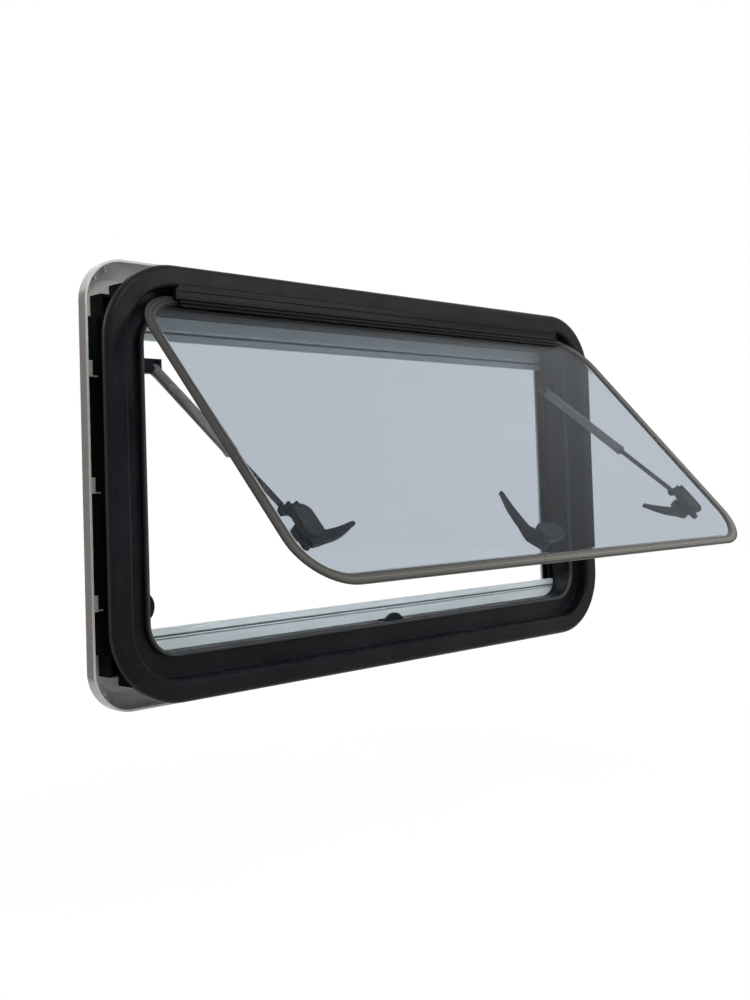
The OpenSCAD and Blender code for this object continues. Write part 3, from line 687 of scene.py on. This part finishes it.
# %% Pull bars
# painted shade: this dark grey-teal on the wide flute's floor stands in for the shade in it
flute_shade = moulded("flute_shade", (0.075, 0.095, 0.094), 0.6, grain=0.0008, shift=0.15)
WHITE, SHADED = 0, 1
OUTER_FACE, ROOM_FACE = -1, 1
WIDE_FLUTE = (0.0003, 0.0042)  # from the edge on the cassette's side
NARROW_FLUTE = (0.0014, 0.0024)  # from the free edge
FINGER_GROOVE = (-0.0024, 0.0024)  # from the middle
BAR_ARRIS = 0.0002


def drawn_bar(name, side):
    """A fluted bar. side is 1 where its cassette is above it, and -1 below."""
    low, high = (Vector(corner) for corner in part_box(name))
    bm = bmesh.new()
    bmesh.ops.create_cube(bm, size=1)
    bmesh.ops.scale(bm, vec=high - low, verts=bm.verts)
    bmesh.ops.translate(bm, vec=(high + low) / 2, verts=bm.verts)

    cassette_edge, free_edge = (high.z, low.z) if side > 0 else (low.z, high.z)
    wide = sorted(cassette_edge - side * z for z in WIDE_FLUTE)
    narrow = sorted(free_edge + side * z for z in NARROW_FLUTE)
    finger = [(low.z + high.z) / 2 + z for z in FINGER_GROOVE]
    for z in wide + narrow + finger:
        bmesh.ops.bisect_plane(bm, geom=bm.verts[:] + bm.edges[:] + bm.faces[:],
                               plane_co=(0, 0, z), plane_no=(0, 0, 1))
    # each strip, the face that it is in, the wall left round it, its depth and its finish
    for (bottom, top), facing, wall, depth, finish in (
        # painted shade on the wide flute's floor
        (wide, OUTER_FACE, 0.001, 0.0022, SHADED),
        (narrow, OUTER_FACE, 0.0001, 0.0005, WHITE),
        (finger, ROOM_FACE, 0.0009, 0.002, WHITE),
    ):
        strip = [f for f in bm.faces
                 if f.normal.y * facing > 0.9 and bottom < f.calc_center_median().z < top]
        bmesh.ops.inset_region(bm, faces=strip, thickness=wall, depth=-depth, use_boundary=True,
                               use_even_offset=True)
        for f in strip:
            f.material_index = finish
    soften(bm, BAR_ARRIS)
    piece = new_object(name + "_section", bm, [powder_white, flute_shade])
    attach(piece, name)
    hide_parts(name)
    print(piece.name, [round(1000 * x, 1) for x in high - low], "mm,",
          len(piece.data.polygons), "faces")


drawn_bar("screen_bar", 1)
drawn_bar("blind_bar", -1)

# %% [markdown]
# ## Surfaces of the packed pieces
# The other pieces keep their packed shape. Real edges are never quite sharp, and a thin line of
# light along them shows it. The packed mesh itself may not change, so a Bevel modifier with
# hardened normals rounds the edges. Latches and keepers are rounded more than the frame and its
# rails.

# %% Surfaces of the packed pieces
LOOKS = {
    black_moulding: ("outer_frame",),
    rubber: ("wall_gasket", "pane_seal", "latch_pads"),
    rail_plastic: ("side_rail_left", "side_rail_right", "screen_end_caps", "blind_end_caps",
                   "stay_bracket_left", "stay_bracket_right", "keeper_left", "keeper_right",
                   "keeper_bottom", "hinge_end_caps"),
    rail_anodised: ("hinge_rail", "hinge_blade"),
    plated_steel: ("hinge_screws", "clamp_screws", "latch_screws", "screen_spring",
                   "blind_spring"),
    trim_plastic: ("inner_trim",),
    clip_plastic: ("trim_clips",),
    powder_white: ("screen_cassette", "blind_cassette"),
    tube_aluminium: ("screen_roller", "blind_roller"),
    shoe_plastic: ("screen_bar_shoes", "blind_bar_shoes"),
    latch_plastic: ("latch_base_left", "latch_base_right", "latch_base_middle",
                    "latch_lever_left", "latch_lever_right", "latch_lever_middle"),
    button_plastic: ("latch_button_left", "latch_button_right", "latch_button_middle"),
    tube_paint: ("stay_tube_left", "stay_tube_right", "stay_collar_left", "stay_collar_right"),
    dark_steel: ("stay_rod_left", "stay_rod_right", "stay_pins"),
}
ARRIS = {"latch": 0.0006, "stay": 0.0004, "keeper": 0.0006, "outer": 0.0003,
         "inner_trim": 0.0003, "side_rail": 0.0003, "hinge": 0.0002}
OTHER_ARRIS = 0.00025


def round_arrises(obj, width):
    bevel = obj.modifiers.new("arris", "BEVEL")
    bevel.width = width
    bevel.segments = 2
    bevel.limit_method = "ANGLE"
    bevel.angle_limit = math.radians(35)
    bevel.harden_normals = True
    bevel.use_clamp_overlap = True


for surface, names in LOOKS.items():
    for name in names:
        materials = NODES[name].data.materials
        materials.clear()
        materials.append(surface.mat)
        width = next((w for start, w in ARRIS.items() if name.startswith(start)), OTHER_ARRIS)
        round_arrises(NODES[name], width)
print("dressed:", sum(len(names) for names in LOOKS.values()), "of", len(NODES))

# %% [markdown]
# ## Lamps
# Three large area lamps light the window softly: a key from the upper left that draws the frame's
# top and the latches, a weaker fill from the right, and one behind for the trim and the room
# side. Small lamps would make hard shadows, and a sun lamp would light all faces of one slope
# alike.


# %% Lamps
def lamp(name, place, size, power, color=(1, 1, 1)):
    """A rectangular lamp that looks at the middle of the window."""
    data = bpy.data.lights.new(name, "AREA")
    data.shape = "RECTANGLE"
    data.size, data.size_y = size
    data.energy = power
    data.color = color
    obj = bpy.data.objects.new(name, data)
    scene.collection.objects.link(obj)
    obj.location = place
    obj.rotation_euler = (-Vector(place)).to_track_quat("-Z", "Y").to_euler()


lamp("key", (-0.7, -2.0, 2.1), (1.5, 1.1), 50, (1, 0.99, 0.98))
lamp("fill", (1.3, -2.0, 0.9), (1.2, 1.6), 20, (0.97, 0.98, 1))
lamp("back", (-0.4, 2.0, 1.2), (2.0, 1.2), 18)
print("lamps:", [light.name for light in bpy.data.lights])

# %% [markdown]
# ## White room
# The background is plain white, but a world that bright would wash the black frame out. Light
# Path tells rays apart: those that the camera sees, also through glass or off a gloss, meet
# white, and those that carry light meet a dimmer, slightly cool grey.


# %% White room
def seen_ray(nt):
    """1 for rays from the camera, through glass or off a gloss, and 0 for rays that carry light."""
    path = nt.nodes.new("ShaderNodeLightPath")
    seen = path.outputs["Is Camera Ray"]
    for kind in ("Is Transmission Ray", "Is Glossy Ray"):
        seen = maths(nt, "MAXIMUM", seen, path.outputs[kind])
    return seen


world = bpy.data.worlds.new("surround")
scene.world = world
world.use_nodes = True
nt = world.node_tree
lit, white = nt.nodes["Background"], nt.nodes.new("ShaderNodeBackground")
for background, color, strength in ((lit, (0.9, 0.93, 0.96), 0.24), (white, (1, 1, 1), 1)):
    background.inputs["Color"].default_value = (*color, 1)
    background.inputs["Strength"].default_value = strength
join_shaders(nt, seen_ray(nt), lit.outputs[0], white.outputs[0], "World Output")
print("room lights at", round(lit.inputs["Strength"].default_value, 2))

# %% [markdown]
# ## Floor
# A pale floor lies well below the window and runs into the white without a line. Lamps alone
# would leave it grey away from the window. So it glows for seen rays, a little less below the
# window than further off, and what is left of the plain surface there carries the window's soft
# shadow.

# %% Floor
FLOOR_DROP = 0.25
FLOOR_HALF = 6
GLOW = 1.03
NEAR_SHARE = 0.92  # of the glow, below the window
SHARE_GROWS = (0.8, 1.6)  # distances over which that share grows to 1
bm = bmesh.new()
bmesh.ops.create_grid(bm, x_segments=4, y_segments=4, size=FLOOR_HALF)
bmesh.ops.translate(bm, verts=bm.verts, vec=(0, 0, bounds_at_load[0][2] - FLOOR_DROP))
paint = Surface("floor", (0.82, 0.82, 0.82), 0.9)
glow = paint.node("ShaderNodeEmission", Strength=GLOW)
away = paint.nt.nodes.new("ShaderNodeVectorMath")
away.operation = "LENGTH"
feed(paint.nt, away.inputs[0], paint.coord)
glow_share = paint.ramp(away.outputs["Value"], NEAR_SHARE, 1, SHARE_GROWS)
seen_glow = maths(paint.nt, "MULTIPLY", seen_ray(paint.nt), glow_share)
join_shaders(paint.nt, seen_glow, paint.shader.outputs[0], glow.outputs[0], "Material Output")
floor = new_object("floor", bm, [paint])
scene.view_settings.view_transform = "Standard"
print("floor at", round(bounds_at_load[0][2] - FLOOR_DROP, 3), "m")

# %% [markdown]
# ## Size of the packed model
# The box of the packed model is taken when it is loaded, before the looks are added, and the
# floor is set below it.
